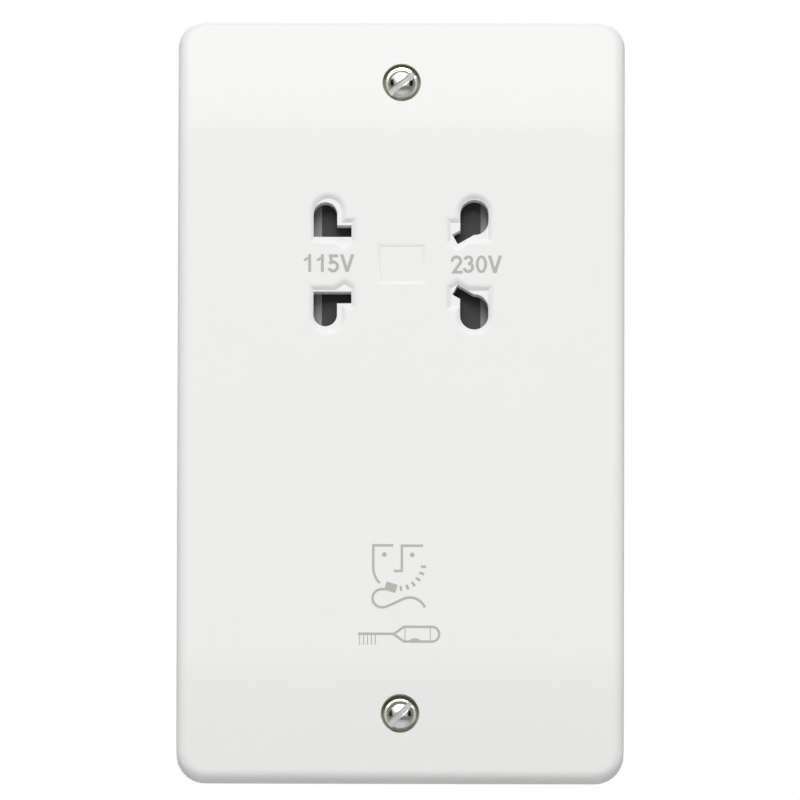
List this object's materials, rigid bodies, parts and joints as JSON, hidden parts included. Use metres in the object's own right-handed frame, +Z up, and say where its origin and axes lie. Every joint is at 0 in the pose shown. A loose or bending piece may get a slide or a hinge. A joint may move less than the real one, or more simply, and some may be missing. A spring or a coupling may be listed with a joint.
{
  "type": "shaver socket",
  "caption": "Upright two gang wall plate with a low and a high voltage shaver outlet, sunk fixing screws, sliding shutter, and an isolating transformer in a housing behind.",
  "frame": {"origin": "on the wall plane, midway between the two fixing screws", "axes": "+X to the right seen from the room, +Y into the wall, +Z up"},
  "size_m": [0.0848, 0.047, 0.1454],
  "materials": {
    "plate_plastic": "satin white moulding",
    "fixing_steel": "bright zinc plate",
    "shutter_plastic": "dark grey moulding",
    "carrier_plastic": "mid grey moulding",
    "housing_plastic": "light grey moulding",
    "spring_steel": "bright wire",
    "contact_bronze": "phosphor bronze strip",
    "terminal_brass": "plain brass",
    "screw_steel": "zinc plate",
    "core_steel": "stacked laminations",
    "bobbin_plastic": "natural nylon",
    "winding_copper": "enamelled copper wire",
    "tape_film": "polyester tape",
    "cutout_plastic": "black moulding"
  },
  "bodies": {
    "unit": {"front_plate": "plate_plastic", "fixing_screws": "fixing_steel", "shutter_spring": "spring_steel", "switch_strap_upper": "contact_bronze", "switch_strap_lower": "contact_bronze", "contact_carrier": "carrier_plastic", "contact_115v": "contact_bronze", "contact_230v": "contact_bronze", "contact_common": "contact_bronze", "contact_retainer": "carrier_plastic", "rear_housing": "housing_plastic", "assembly_screws": "screw_steel", "live_terminal": "terminal_brass", "earth_terminal": "terminal_brass", "neutral_terminal": "terminal_brass", "terminal_screws": "screw_steel", "core_e_stack": "core_steel", "core_i_stack": "core_steel", "transformer_bobbin": "bobbin_plastic", "primary_winding": "winding_copper", "secondary_winding": "winding_copper", "primary_tape": "tape_film", "secondary_tape": "tape_film", "overload_cutout": "cutout_plastic"},
    "slider": {"shutter": "shutter_plastic", "switch_bridge": "contact_bronze"}
  },
  "joints": [
    {"name": "shutter_slide", "type": "slide", "parent": "unit", "child": "slider", "axis": [1, 0, 0], "range_m": [-0.007, 0.007], "stiffness_N_per_m": 500, "deforming": ["shutter_spring"]}
  ]
}
